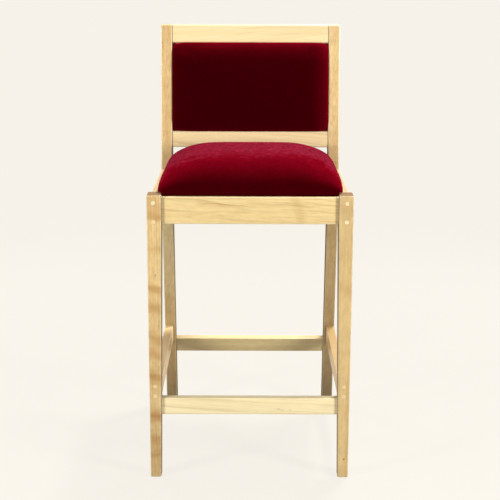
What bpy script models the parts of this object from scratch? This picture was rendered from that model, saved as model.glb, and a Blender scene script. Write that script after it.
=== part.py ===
# Bar stool with a raked back: solid maple frame, upholstered drop-on seat and upholstered back panel.
# Metres, +Z up, the front faces -Y. The origin is on the floor under the middle of the stool's box.
# Depths are measured back from the front face of the front legs, and an empty centres the whole stool.

import math

import bmesh
import bpy
from mathutils import Matrix, Vector

# Plan and heights: the sides and the rear legs stand in from the outer faces of the front legs
FRONT_WIDTH = 0.468
SIDE_SETBACK = 0.006
SEAT_SPAN = 0.395
FRONT_LEG_HEIGHT = 0.680
BACK_HEIGHT = 1.040

# Front leg: the outer and front faces are plumb, the inner and rear faces taper below the seat
FRONT_LEG_WIDTH = 0.033
FRONT_LEG_DEPTH = 0.045
FRONT_FOOT_WIDTH = 0.025
FRONT_FOOT_DEPTH = 0.032
FRONT_TAPER_TOP = 0.600

# Rear leg: one sawn piece, plumb at the seat, raked back above and below it
REAR_LEG_WIDTH = 0.0286
REAR_LEG_DEPTH = 0.042
REAR_FOOT_DEPTH = 0.030
REAR_TOP_DEPTH = 0.030
REAR_BEND_LOW = 0.580
REAR_BEND_HIGH = 0.690
REAR_BEND_RADIUS = 0.250
LEG_RAKE = math.radians(9.2)
BACK_RAKE = math.radians(9.0)

# Seat rails
RAIL_TOP = 0.675
RAIL_HEIGHT = 0.0625
FRONT_RAIL_THICKNESS = 0.022
FRONT_RAIL_SETBACK = 0.007
SIDE_RAIL_THICKNESS = 0.020
REAR_RAIL_THICKNESS = 0.022
REAR_RAIL_SETBACK = 0.008

# Stretchers
FRONT_STRETCHER_TOP = 0.1965
FRONT_STRETCHER_HEIGHT = 0.041
FRONT_STRETCHER_THICKNESS = 0.020
FRONT_STRETCHER_SETBACK = 0.007
SIDE_STRETCHER_TOP = 0.240
SIDE_STRETCHER_HEIGHT = 0.0435
SIDE_STRETCHER_THICKNESS = 0.0215
REAR_STRETCHER_TOP = 0.2003
REAR_STRETCHER_HEIGHT = 0.039
REAR_STRETCHER_THICKNESS = 0.021
REAR_STRETCHER_SETBACK = 0.005

# Back rails, square to the raked back: the lower one rises clear of the upper bend
BACK_RAIL_THICKNESS = 0.022
BACK_RAIL_SETBACK = 0.003
CREST_RAIL_HEIGHT = 0.046
LOWER_BACK_RAIL_HEIGHT = 0.040
LOWER_BACK_RAIL_RISE = 0.0424

# Tenons that join the cross rails to the legs
TENON_THICKNESS = 0.009
TENON_LENGTH = 0.018
RAIL_TENON_HEIGHT = 0.026
STRETCHER_TENON_HEIGHT = 0.020
BACK_TENON_HEIGHT = 0.026

# Plugged screws that join the side rails and side stretchers to the legs
PLUG_DIAMETER = 0.0095
PLUG_LENGTH = 0.007
SCREW_SHANK = 0.0042
SCREW_HEAD = 0.0080
SCREW_HEAD_HEIGHT = 0.0026
SCREW_LENGTH = 0.060
SCREW_POINT = 0.006
RAIL_SCREW_DROP = 0.013
RAIL_SCREW_SPACING = 0.0434
STRETCHER_SCREW_DROP = 0.0134
STRETCHER_SCREW_SPACING = 0.0236
RAIL_SCREW_OUTSET = 0.0008
STRETCHER_SCREW_OUTSET = 0.0033

# Corner blocks and the screws that hold the seat down
BLOCK_THICKNESS = 0.025
BLOCK_NEAR = 0.042
BLOCK_WIDTH = 0.040
SEAT_SCREW_LENGTH = 0.034

# Seat: dust cover, plywood deck and cushion
DECK_THICKNESS = 0.012
DUST_COVER_THICKNESS = 0.0008
DECK_INSET = 0.004
CUSHION_SIDE_INSET = 0.016
CUSHION_FRONT_INSET = 0.009
CUSHION_REAR_INSET = 0.010
CUSHION_SKIRT = 0.016
CUSHION_CROWN = 0.088
CUSHION_ROUNDNESS = 5.0
CUSHION_FULLNESS = 2.4
SEAT_NOTCH_GAP = 0.0012

# Back panel: plywood board grooved into the back rails, with a pad on each side
BACK_BOARD_THICKNESS = 0.009
BACK_BOARD_SETBACK = 0.010
BACK_GROOVE_DEPTH = 0.006
BACK_PAD_CROWN = 0.015
BACK_OUTER_PAD_CROWN = 0.008
BACK_PAD_ROUNDNESS = 7.0
BACK_PAD_FULLNESS = 3.0

# Finish and fits
ARRIS = 0.0025
TOP_ARRIS = 0.005
SHARP_ANGLE = math.radians(50)
FIT = 0.0003
WELD = 0.00001
ARRIS_STEPS = 2
TOP_ARRIS_STEPS = 3
HOLE_SIDES = 16
PLUG_SIDES = 24
BEND_STEPS = 4
CAGE_STEP = 0.050
CAGE_LEVELS = 5

# Sizes worked out from the driving dimensions
HALF_FRONT = FRONT_WIDTH / 2
HALF_REAR = HALF_FRONT - SIDE_SETBACK
FRONT_INNER = HALF_FRONT - FRONT_LEG_WIDTH
REAR_INNER = HALF_REAR - REAR_LEG_WIDTH
SIDE_RAIL_MIDDLE = HALF_REAR - SIDE_RAIL_THICKNESS / 2
SIDE_STRETCHER_MIDDLE = HALF_REAR - SIDE_STRETCHER_THICKNESS / 2
RAIL_BOTTOM = RAIL_TOP - RAIL_HEIGHT
FRONT_RAIL_BACK = FRONT_RAIL_SETBACK + FRONT_RAIL_THICKNESS
REAR_RAIL_FRONT = SEAT_SPAN + REAR_RAIL_SETBACK
BACK_LENGTH = (BACK_HEIGHT - REAR_BEND_HIGH) / math.cos(BACK_RAKE)
CREST_BOTTOM = BACK_LENGTH - CREST_RAIL_HEIGHT
LOWER_RAIL_TOP = LOWER_BACK_RAIL_RISE + LOWER_BACK_RAIL_HEIGHT
BACK_PAD_HEIGHT = CREST_BOTTOM - LOWER_RAIL_TOP
FOOT_FRONT = SEAT_SPAN + REAR_BEND_LOW * math.tan(LEG_RAKE)
OVERALL_DEPTH = FOOT_FRONT + REAR_FOOT_DEPTH
COUNTERBORE_DEPTH = PLUG_LENGTH + SCREW_HEAD_HEIGHT + 2 * FIT
SIDES = {"left": -1, "right": 1}


def front_leg_back(z):
    """Depth of a front leg's rear face at a height."""
    share = min(z / FRONT_TAPER_TOP, 1)
    return FRONT_FOOT_DEPTH + (FRONT_LEG_DEPTH - FRONT_FOOT_DEPTH) * share


def front_leg_inside(z):
    """Distance of a front leg's inner face from the middle of the stool at a height."""
    share = min(z / FRONT_TAPER_TOP, 1)
    return HALF_FRONT - FRONT_FOOT_WIDTH - (FRONT_LEG_WIDTH - FRONT_FOOT_WIDTH) * share


def rear_leg_front(z):
    """Depth of a rear leg's front face at a height below the upper bend."""
    return SEAT_SPAN + max(REAR_BEND_LOW - z, 0) * math.tan(LEG_RAKE)


def rear_leg_back(z):
    """Depth of a rear leg's rear face at a height below the upper bend."""
    share = max(REAR_BEND_LOW - z, 0) / REAR_BEND_LOW
    return SEAT_SPAN + REAR_LEG_DEPTH + (OVERALL_DEPTH - SEAT_SPAN - REAR_LEG_DEPTH) * share


def clear_scene():
    for old in list(bpy.data.objects):
        bpy.data.objects.remove(old, do_unlink=True)


def new_collection(name):
    collection = bpy.data.collections.new(name)
    bpy.context.scene.collection.children.link(collection)
    return collection


def new_material(name, colour, roughness, metallic=0.0):
    material = bpy.data.materials.new(name)
    material.use_nodes = True
    shader = material.node_tree.nodes["Principled BSDF"]
    shader.inputs["Base Color"].default_value = (*colour, 1)
    shader.inputs["Roughness"].default_value = roughness
    shader.inputs["Metallic"].default_value = metallic
    return material


def new_empty(name, parent, depth=0.0, height=0.0, turn=0.0):
    empty = bpy.data.objects.new(name, None)
    parts.objects.link(empty)
    empty.parent = parent
    empty.location = (0, depth, height)
    empty.rotation_euler = (turn, 0, 0)
    return empty


def new_piece(name, mesh, material, parent):
    piece = bpy.data.objects.new(name, mesh)
    parts.objects.link(piece)
    piece.parent = parent
    mesh.materials.append(material)
    return piece


def new_helper(name, mesh, parent):
    helper = bpy.data.objects.new(name, mesh)
    cutters.objects.link(helper)
    helper.parent = parent
    helper.hide_render = True
    helper.display_type = "WIRE"
    return helper


def mesh_of(name, bm):
    bmesh.ops.recalc_face_normals(bm, faces=bm.faces)
    mesh = bpy.data.meshes.new(name)
    bm.to_mesh(mesh)
    bm.free()
    return mesh


def block_mesh(name, low, high):
    """A box between two corners."""
    low, high = Vector(low), Vector(high)
    bm = bmesh.new()
    bmesh.ops.create_cube(bm, size=1)
    bmesh.ops.scale(bm, vec=high - low, verts=bm.verts)
    bmesh.ops.translate(bm, vec=(low + high) / 2, verts=bm.verts)
    return mesh_of(name, bm)


def rod_mesh(name, radius, start, end, sides):
    """A round rod between two depths, along +Y."""
    bm = bmesh.new()
    bmesh.ops.create_cone(
        bm, cap_ends=True, segments=sides, radius1=radius, radius2=radius, depth=end - start)
    bmesh.ops.rotate(bm, matrix=Matrix.Rotation(math.pi / 2, 3, "X"), verts=bm.verts)
    bmesh.ops.translate(bm, vec=(0, (start + end) / 2, 0), verts=bm.verts)
    return mesh_of(name, bm)


def prism_mesh(name, outline, thickness, placing):
    """A flat outline with a thickness, set in place by a matrix."""
    curve = bpy.data.curves.new(name, "CURVE")
    curve.dimensions = "2D"
    curve.fill_mode = "BOTH"
    curve.extrude = thickness / 2
    spline = curve.splines.new("POLY")
    spline.points.add(len(outline) - 1)
    for point, place in zip(spline.points, outline):
        point.co = (*place, 0, 1)
    spline.use_cyclic_u = True
    drawn = bpy.data.objects.new(name, curve)
    cutters.objects.link(drawn)
    graph = bpy.context.evaluated_depsgraph_get()
    flat = bpy.data.meshes.new_from_object(drawn.evaluated_get(graph))
    bpy.data.objects.remove(drawn)
    bm = bmesh.new()
    bm.from_mesh(flat)
    bmesh.ops.remove_doubles(bm, verts=bm.verts, dist=WELD)
    for cap in (1, -1):
        facets = [face for face in bm.faces if all(vertex.co.z * cap > 0 for vertex in face.verts)]
        bmesh.ops.dissolve_faces(bm, faces=facets)
    bmesh.ops.transform(bm, matrix=placing, verts=bm.verts)
    return mesh_of(name, bm)


def side_view(x):
    """Places an outline drawn in depth and height at a distance from the middle of the stool."""
    return Matrix(((0, 0, 1, x), (1, 0, 0, 0), (0, 1, 0, 0), (0, 0, 0, 1)))


def front_view(depth):
    """Places an outline drawn in width and height at a depth."""
    return Matrix(((1, 0, 0, 0), (0, 0, -1, depth), (0, 1, 0, 0), (0, 0, 0, 1)))


def plan_view(height):
    """Places an outline drawn in plan at a height."""
    return Matrix.Translation((0, 0, height))


def rounded_corner(before, corner, after, radius):
    """Points of the arc that rounds one bend of an outline."""
    before, corner, after = Vector(before), Vector(corner), Vector(after)
    back = (before - corner).normalized()
    ahead = (after - corner).normalized()
    half = back.angle(ahead) / 2
    middle = corner + (back + ahead).normalized() * radius / math.sin(half)
    start = corner + back * radius / math.tan(half) - middle
    end = corner + ahead * radius / math.tan(half) - middle
    return [middle + radius * start.slerp(end, step / BEND_STEPS) for step in range(BEND_STEPS + 1)]


def ease(piece):
    """Rounds the arrises of a sawn piece."""
    bevel = piece.modifiers.new("eased_arrises", "BEVEL")
    bevel.width = ARRIS
    bevel.segments = ARRIS_STEPS
    bevel.limit_method = "ANGLE"
    bevel.angle_limit = SHARP_ANGLE


def ease_along(piece, axis, height=math.inf):
    """Rounds the long arrises of a rail below a height, and leaves its shoulders square."""
    weights = piece.data.attributes.new("eased_edge", "FLOAT", "EDGE")
    for edge in piece.data.edges:
        ends = [piece.data.vertices[index].co for index in edge.vertices]
        run = [abs(part) for part in ends[1] - ends[0]]
        lengthwise = run[axis] == max(run)
        weights.data[edge.index].value = float(lengthwise and max(end.z for end in ends) < height)
    bevel = piece.modifiers.new("eased_arrises", "BEVEL")
    bevel.width = ARRIS
    bevel.segments = ARRIS_STEPS
    bevel.limit_method = "WEIGHT"
    bevel.edge_weight = "eased_edge"


def ease_top(piece, height):
    """Rounds the upper edges of a piece more fully, from a height in its own mesh."""
    weights = piece.data.attributes.new("bevel_weight_edge", "FLOAT", "EDGE")
    for edge in piece.data.edges:
        ends = [piece.data.vertices[index].co for index in edge.vertices]
        along_width = abs(ends[0].x - ends[1].x) > abs(ends[0].y - ends[1].y)
        weights.data[edge.index].value = float(along_width and min(end.z for end in ends) > height)
    bevel = piece.modifiers.new("rounded_top", "BEVEL")
    bevel.width = TOP_ARRIS
    bevel.segments = TOP_ARRIS_STEPS
    bevel.limit_method = "WEIGHT"


def boolean(piece, other, operation):
    modifier = piece.modifiers.new(other.name, "BOOLEAN")
    modifier.operation = operation
    modifier.solver = "EXACT"
    modifier.object = other


def add_tenons(rail, legs, half_length, depth, height, tall):
    """Runs a tenon out of both ends of a rail, and cuts its mortises in the two legs."""
    half = Vector((half_length + TENON_LENGTH, TENON_THICKNESS / 2, tall / 2))
    middle = Vector((0, depth, height))
    tenon_mesh = block_mesh("tenon", middle - half, middle + half)
    tenon = new_helper(rail.name + "_tenon", tenon_mesh, rail.parent)
    boolean(rail, tenon, "UNION")
    half += Vector((FIT, FIT, FIT))
    mortise_mesh = block_mesh("mortise", middle - half, middle + half)
    mortise = new_helper(rail.name + "_mortise", mortise_mesh, rail.parent)
    for leg in legs:
        boolean(leg, mortise, "DIFFERENCE")


def make_front_leg(side):
    """A leg whose inner and rear faces taper from the seat rail to the foot."""
    sign = SIDES[side]
    bm = bmesh.new()
    bmesh.ops.create_cube(bm, size=1)
    bmesh.ops.scale(bm, vec=(FRONT_LEG_WIDTH, FRONT_LEG_DEPTH, FRONT_LEG_HEIGHT), verts=bm.verts)
    middle = (sign * (HALF_FRONT - FRONT_LEG_WIDTH / 2), FRONT_LEG_DEPTH / 2, FRONT_LEG_HEIGHT / 2)
    bmesh.ops.translate(bm, vec=middle, verts=bm.verts)
    everything = bm.verts[:] + bm.edges[:] + bm.faces[:]
    bmesh.ops.bisect_plane(bm, geom=everything, plane_co=(0, 0, FRONT_TAPER_TOP), plane_no=(0, 0, 1))
    for vertex in bm.verts:
        if vertex.co.z < FRONT_TAPER_TOP / 2:
            if abs(vertex.co.x) < HALF_FRONT - FRONT_LEG_WIDTH / 2:
                vertex.co.x = sign * (HALF_FRONT - FRONT_FOOT_WIDTH)
            if vertex.co.y > FRONT_LEG_DEPTH / 2:
                vertex.co.y = FRONT_FOOT_DEPTH
    leg = new_piece("front_leg_" + side, mesh_of("front_leg", bm), maple_leg, stool)
    ease(leg)
    return leg


def make_rear_leg(side):
    """The sawn leg and back post: its front and rear edges bend softly at the seat."""
    top_front = Vector((SEAT_SPAN + BACK_LENGTH * math.sin(BACK_RAKE), BACK_HEIGHT))
    top_rear = top_front + REAR_TOP_DEPTH * Vector((math.cos(BACK_RAKE), -math.sin(BACK_RAKE)))
    seat_rear = SEAT_SPAN + REAR_LEG_DEPTH
    rising = [(FOOT_FRONT, 0), (SEAT_SPAN, REAR_BEND_LOW), (SEAT_SPAN, REAR_BEND_HIGH), top_front]
    falling = [top_rear, (seat_rear, REAR_BEND_HIGH), (seat_rear, REAR_BEND_LOW), (OVERALL_DEPTH, 0)]
    outline = []
    for edge in (rising, falling):
        outline.append(edge[0])
        outline += rounded_corner(*edge[:3], REAR_BEND_RADIUS)
        outline += rounded_corner(*edge[1:], REAR_BEND_RADIUS)
        outline.append(edge[3])
    placing = side_view(SIDES[side] * (HALF_REAR - REAR_LEG_WIDTH / 2))
    mesh = prism_mesh("rear_leg", outline, REAR_LEG_WIDTH, placing)
    leg = new_piece("rear_leg_" + side, mesh, maple_leg, stool)
    ease_top(leg, top_rear.y - ARRIS)
    ease(leg)
    return leg


def make_cross_rail(name, half_length, front, thickness, bottom, top, parent):
    """A square-ended rail from leg to leg, centred on the stool."""
    low = (-half_length, front, bottom)
    high = (half_length, front + thickness, top)
    return new_piece(name, block_mesh(name, low, high), maple_rail, parent)


def make_seat_rail(name, legs, inner, front, thickness):
    rail = make_cross_rail(name, inner - FIT, front, thickness, RAIL_BOTTOM, RAIL_TOP, stool)
    ease_along(rail, 0)
    height = RAIL_TOP - RAIL_SCREW_DROP - RAIL_SCREW_SPACING / 2
    add_tenons(rail, legs, inner, front + thickness / 2, height, RAIL_TENON_HEIGHT)


def make_front_stretcher(legs):
    """The footrest: its shoulders follow the taper of the legs."""
    top = FRONT_STRETCHER_TOP
    bottom = top - FRONT_STRETCHER_HEIGHT
    middle = (top + bottom) / 2
    low_half = front_leg_inside(bottom) - FIT
    high_half = front_leg_inside(top) - FIT
    outline = [(-low_half, bottom), (low_half, bottom), (high_half, top), (-high_half, top)]
    depth = FRONT_STRETCHER_SETBACK + FRONT_STRETCHER_THICKNESS / 2
    mesh = prism_mesh("front_stretcher", outline, FRONT_STRETCHER_THICKNESS, front_view(depth))
    stretcher = new_piece("front_stretcher", mesh, maple_rail, stool)
    ease_along(stretcher, 0)
    add_tenons(stretcher, legs, front_leg_inside(middle), depth, middle, STRETCHER_TENON_HEIGHT)


def make_rear_stretcher(legs):
    """Square to the raked rear legs."""
    top = (REAR_STRETCHER_TOP - REAR_BEND_LOW) / math.cos(LEG_RAKE)
    bottom = top - REAR_STRETCHER_HEIGHT
    front, thickness = REAR_STRETCHER_SETBACK, REAR_STRETCHER_THICKNESS
    stretcher = make_cross_rail(
        "rear_stretcher", REAR_INNER - FIT, front, thickness, bottom, top, leg_plane)
    ease_along(stretcher, 0)
    middle = (top + bottom) / 2
    add_tenons(stretcher, legs, REAR_INNER, front + thickness / 2, middle, STRETCHER_TENON_HEIGHT)


def make_back_rail(name, bottom, top, legs):
    """A rail across the back posts, square to the raked back."""
    front, thickness = BACK_RAIL_SETBACK, BACK_RAIL_THICKNESS
    rail = make_cross_rail(name, REAR_INNER - FIT, front, thickness, bottom, top, back_plane)
    if name == "crest_rail":
        ease_top(rail, top - ARRIS)
    ease_along(rail, 0, top - ARRIS if name == "crest_rail" else math.inf)
    middle = (bottom + top) / 2
    add_tenons(rail, legs, REAR_INNER, front + thickness / 2, middle, BACK_TENON_HEIGHT)
    return rail


def make_side_member(name, side, middle, thickness, bottom, top):
    """A side rail or side stretcher: its ends follow the faces of the legs that it butts against."""
    outline = [
        (front_leg_back(bottom) + FIT, bottom),
        (rear_leg_front(bottom) - FIT, bottom),
        (rear_leg_front(top) - FIT, top),
        (front_leg_back(top) + FIT, top),
    ]
    mesh = prism_mesh(name, outline, thickness, side_view(SIDES[side] * middle))
    member = new_piece(name + "_" + side, mesh, maple_rail, stool)
    ease_along(member, 1)
    return member


def turned_mesh(name, profile):
    """Half of a turned section: radius and distance along +Y, listed from the far end back."""
    mesh = bpy.data.meshes.new(name)
    points = [(radius, along, 0) for radius, along in profile]
    edges = [(index, index + 1) for index in range(len(points) - 1)]
    mesh.from_pydata(points, edges, [])
    return mesh


def turn_on_axis(piece, place, turn):
    """Spins a half section about its own Y axis, at its place."""
    piece.location = place
    piece.rotation_euler = turn
    turned = piece.modifiers.new("turned", "SCREW")
    turned.axis = "Y"
    turned.steps = HOLE_SIDES
    turned.render_steps = HOLE_SIDES
    turned.use_merge_vertices = True
    turned.merge_threshold = WELD


def make_screw(name, length, place, turn):
    """A pan-head wood screw, with the seat of its head at its place."""
    head, shank = SCREW_HEAD / 2, SCREW_SHANK / 2
    profile = [
        (0, length),
        (shank, length - SCREW_POINT),
        (shank, 0),
        (head, 0),
        (head, -SCREW_HEAD_HEIGHT / 2),
        (head - SCREW_HEAD_HEIGHT / 2, -SCREW_HEAD_HEIGHT),
        (0, -SCREW_HEAD_HEIGHT),
    ]
    turn_on_axis(new_piece(name, turned_mesh("screw", profile), steel, stool), place, turn)


def drill(name, counterbore, length, place, turn, pieces):
    """Cuts a screw hole, with a counterbore for a plug where it has one, from a face into pieces."""
    wide, narrow = PLUG_DIAMETER / 2 + FIT, SCREW_SHANK / 2 + FIT
    outside = -PLUG_LENGTH
    profile = [(0, counterbore + length), (narrow, counterbore + length)]
    if counterbore:
        profile += [(narrow, counterbore), (wide, counterbore), (wide, outside), (0, outside)]
    else:
        profile += [(narrow, outside), (0, outside)]
    hole = new_helper(name, turned_mesh(name, profile), stool)
    turn_on_axis(hole, place, turn)
    for piece in pieces:
        boolean(piece, hole, "DIFFERENCE")


def make_plug(name, place, turn, lean):
    """A wood plug that fills a counterbore flush with the leg, whose face may lean."""
    bm = bmesh.new()
    bm.from_mesh(rod_mesh("plug", PLUG_DIAMETER / 2, 0, PLUG_LENGTH, PLUG_SIDES))
    for vertex in bm.verts:
        if vertex.co.y < PLUG_LENGTH / 2:
            vertex.co.y += lean * vertex.co.z
    plug = new_piece(name, mesh_of(name, bm), maple_plug, stool)
    plug.location = place
    plug.rotation_euler = turn
    plug.data.shade_smooth()
    plug.data.set_sharp_from_angle(angle=SHARP_ANGLE)


def join_end(end, level, side, x, heights, leg, member):
    """Two plugged screws through a leg into the end of a side member."""
    turn = (0, 0, 0) if end == "front" else (0, 0, math.pi)
    inward = 1 if end == "front" else -1
    for place_name, z in zip(("lower", "upper"), heights):
        tail = "_".join((end, side, place_name))
        face, lean = 0, 0
        if end == "rear":
            face = rear_leg_back(z)
            lean = (face - rear_leg_back(z + PLUG_DIAMETER)) / PLUG_DIAMETER
        mouth = (SIDES[side] * x, face, z)
        seat = (SIDES[side] * x, face + inward * (COUNTERBORE_DEPTH - FIT), z)
        drill(f"{level}_hole_{tail}", COUNTERBORE_DEPTH, SCREW_LENGTH + FIT, mouth, turn, (leg, member))
        make_plug(f"{level}_plug_{tail}", mouth, turn, lean)
        make_screw(f"{level}_screw_{tail}", SCREW_LENGTH, seat, turn)


def make_corner_block(end, side, name):
    """A block set across a corner of the seat frame, bearing on two rails and clear of the leg."""
    sign = SIDES[side]
    wall = FRONT_RAIL_BACK + FIT if end == "front" else REAR_RAIL_FRONT - FIT
    away = 1 if end == "front" else -1
    corner = HALF_REAR - SIDE_RAIL_THICKNESS - FIT
    outline = [
        (sign * (corner - BLOCK_NEAR - BLOCK_WIDTH), wall),
        (sign * (corner - BLOCK_NEAR), wall),
        (sign * corner, wall + away * BLOCK_NEAR),
        (sign * corner, wall + away * (BLOCK_NEAR + BLOCK_WIDTH)),
    ]
    mesh = prism_mesh(name, outline, BLOCK_THICKNESS, plan_view(RAIL_TOP - BLOCK_THICKNESS / 2))
    block = new_piece(name, mesh, maple_rail, stool)
    reach = BLOCK_NEAR + BLOCK_WIDTH / 2
    return block, (sign * (corner - reach / 2), wall + away * reach / 2)


def seat_outline(inset):
    """Plan of the seat, notched round the front legs and the back posts, drawn in by an inset."""
    front = FRONT_RAIL_SETBACK + CUSHION_FRONT_INSET + inset
    rear = REAR_RAIL_FRONT + REAR_RAIL_THICKNESS - CUSHION_REAR_INSET - inset
    side = HALF_REAR - CUSHION_SIDE_INSET - inset
    leg_side = FRONT_INNER - SEAT_NOTCH_GAP - inset
    leg_back = FRONT_LEG_DEPTH + SEAT_NOTCH_GAP + inset
    post_side = REAR_INNER - SEAT_NOTCH_GAP - inset
    post_front = SEAT_SPAN - SEAT_NOTCH_GAP - inset
    half = [
        (leg_side, front),
        (leg_side, leg_back),
        (side, leg_back),
        (side, post_front),
        (post_side, post_front),
        (post_side, rear),
    ]
    return half + [(-x, y) for x, y in reversed(half)]


def divided(outline, longest):
    """An outline with extra points, so that no stretch of it is longer than a length."""
    points = []
    for start, end in zip(outline, outline[1:] + outline[:1]):
        start, end = Vector(start), Vector(end)
        count = max(math.ceil((end - start).length / longest), 1)
        points += [start.lerp(end, step / count) for step in range(count)]
    return points


def domed_mesh(name, rim, skirt, rise, fullness, roundness):
    """A stuffed cage: an upright skirt on a rim, then levels that draw in to an oval as they rise."""
    half_width = max(abs(point.x) for point in rim)
    near, far = min(point.y for point in rim), max(point.y for point in rim)
    middle = Vector((0, (near + far) / 2))
    half_length = (far - near) / 2
    profile = [(1, 0, 0), (1, 0, skirt)]
    for level in range(1, CAGE_LEVELS + 1):
        climb = level / (CAGE_LEVELS + 0.5) * math.pi / 2
        share = math.cos(climb) ** (2 / fullness)
        height = math.sin(climb) ** (2 / fullness)
        profile.append((share, height, skirt + rise * height))
    bm = bmesh.new()
    rings = []
    for share, rounding, height in profile:
        ring = []
        for point in rim:
            out = point - middle
            across, along = abs(out.x) / half_width, abs(out.y) / half_length
            oval = out / (across ** roundness + along ** roundness) ** (1 / roundness)
            place = middle + share * out.lerp(oval, rounding)
            ring.append(bm.verts.new((place.x, place.y, height)))
        rings.append(ring)
    count = len(rim)
    for lower, upper in zip(rings, rings[1:]):
        for index in range(count):
            after = (index + 1) % count
            bm.faces.new((lower[index], lower[after], upper[after], upper[index]))
    bm.faces.new(rings[0])
    bm.faces.new(rings[-1])
    return mesh_of(name, bm)


def stuff(piece, skirt):
    """Subdivides a cage, keeping its skirt and the rim that lies on its seat sharp."""
    creases = piece.data.attributes.new("crease_edge", "FLOAT", "EDGE")
    for edge in piece.data.edges:
        tops = [piece.data.vertices[index].co.z for index in edge.vertices]
        creases.data[edge.index].value = float(max(tops) < skirt + FIT)
    subdivision = piece.modifiers.new("stuffing", "SUBSURF")
    subdivision.levels = 1
    subdivision.render_levels = 1
    piece.data.shade_smooth()


def make_seat():
    """Dust cover, deck and cushion: the cushion's skirt hides the edge of the deck."""
    cover_bottom = RAIL_TOP + FIT
    deck_bottom = cover_bottom + DUST_COVER_THICKNESS + FIT
    deck_top = deck_bottom + DECK_THICKNESS
    cover_place = plan_view(cover_bottom + DUST_COVER_THICKNESS / 2)
    plan = seat_outline(DECK_INSET)
    cover_mesh = prism_mesh("seat_dust_cover", plan, DUST_COVER_THICKNESS, cover_place)
    cover = new_piece("seat_dust_cover", cover_mesh, cambric, stool)
    deck_place = plan_view(deck_bottom + DECK_THICKNESS / 2)
    deck_mesh = prism_mesh("seat_deck", plan, DECK_THICKNESS, deck_place)
    deck = new_piece("seat_deck", deck_mesh, plywood, stool)

    rim = divided(seat_outline(0), CAGE_STEP)
    rise = CUSHION_CROWN - CUSHION_SKIRT
    cushion_mesh = domed_mesh(
        "seat_cushion", rim, CUSHION_SKIRT, rise, CUSHION_FULLNESS, CUSHION_ROUNDNESS)
    cushion = new_piece("seat_cushion", cushion_mesh, velvet, stool)
    cushion.location.z = cover_bottom
    stuff(cushion, CUSHION_SKIRT)
    pocket_low = cover_bottom - DECK_THICKNESS
    pocket_tall = deck_top + FIT - pocket_low
    pocket_place = plan_view(pocket_low + pocket_tall / 2)
    pocket_mesh = prism_mesh("seat_pocket", seat_outline(DECK_INSET - FIT), pocket_tall, pocket_place)
    pocket = new_helper("seat_pocket", pocket_mesh, stool)
    boolean(cushion, pocket, "DIFFERENCE")
    return cover, deck


def make_back_panel(crest, lower):
    """The board in its grooves, with the front pad and the thinner pad behind it."""
    half = REAR_INNER - FIT
    board_back = BACK_BOARD_SETBACK + BACK_BOARD_THICKNESS
    board_low = LOWER_RAIL_TOP - BACK_GROOVE_DEPTH + FIT
    board_high = CREST_BOTTOM + BACK_GROOVE_DEPTH - FIT
    low = Vector((-half, BACK_BOARD_SETBACK, board_low))
    high = Vector((half, board_back, board_high))
    new_piece("back_board", block_mesh("back_board", low, high), plywood, back_plane)
    room = Vector((FIT, FIT, FIT))
    groove = new_helper("back_groove", block_mesh("back_groove", low - room, high + room), back_plane)
    boolean(crest, groove, "DIFFERENCE")
    boolean(lower, groove, "DIFFERENCE")

    tall = BACK_PAD_HEIGHT / 2 - FIT
    middle_height = LOWER_RAIL_TOP + BACK_PAD_HEIGHT / 2
    corners = [(-half, -tall), (half, -tall), (half, tall), (-half, tall)]
    rim = divided(corners, CAGE_STEP)
    rails_back = BACK_RAIL_SETBACK + BACK_RAIL_THICKNESS
    front_skirt = BACK_BOARD_SETBACK - FIT
    outer_skirt = rails_back - board_back - FIT
    pads = {
        "back_pad": (front_skirt, front_skirt, BACK_PAD_CROWN, math.pi / 2),
        "back_outer_pad": (board_back + FIT, outer_skirt, BACK_OUTER_PAD_CROWN, -math.pi / 2),
    }
    for name, (seat, skirt, crown, turn) in pads.items():
        mesh = domed_mesh(name, rim, skirt, crown, BACK_PAD_FULLNESS, BACK_PAD_ROUNDNESS)
        pad = new_piece(name, mesh, velvet, back_plane)
        pad.location = (0, seat, middle_height)
        pad.rotation_euler = (turn, 0, 0)
        stuff(pad, skirt)


clear_scene()
parts = new_collection("bar_stool")
cutters = new_collection("bar_stool_cutters")
maple_leg = new_material("maple_leg", (0.82, 0.60, 0.32), 0.42)
maple_rail = new_material("maple_rail", (0.88, 0.70, 0.42), 0.40)
maple_plug = new_material("maple_plug", (0.93, 0.78, 0.50), 0.40)
plywood = new_material("plywood", (0.62, 0.47, 0.30), 0.70)
cambric = new_material("cambric", (0.02, 0.02, 0.02), 0.95)
velvet = new_material("velvet", (0.19, 0.002, 0.010), 0.90)
steel = new_material("steel", (0.60, 0.60, 0.58), 0.35, 1.0)

stool = new_empty("stool", None, depth=-OVERALL_DEPTH / 2)
back_plane = new_empty("back_plane", stool, SEAT_SPAN, REAR_BEND_HIGH, -BACK_RAKE)
leg_plane = new_empty("leg_plane", stool, SEAT_SPAN, REAR_BEND_LOW, LEG_RAKE)
bpy.context.view_layer.update()

front_legs = {side: make_front_leg(side) for side in SIDES}
rear_legs = {side: make_rear_leg(side) for side in SIDES}
front_pair, rear_pair = front_legs.values(), rear_legs.values()
make_seat_rail("front_seat_rail", front_pair, FRONT_INNER, FRONT_RAIL_SETBACK, FRONT_RAIL_THICKNESS)
make_seat_rail("rear_seat_rail", rear_pair, REAR_INNER, REAR_RAIL_FRONT, REAR_RAIL_THICKNESS)
make_front_stretcher(front_pair)
make_rear_stretcher(rear_pair)
crest_rail = make_back_rail("crest_rail", CREST_BOTTOM, BACK_LENGTH, rear_pair)
lower_back_rail = make_back_rail("lower_back_rail", LOWER_BACK_RAIL_RISE, LOWER_RAIL_TOP, rear_pair)
make_back_panel(crest_rail, lower_back_rail)

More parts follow.
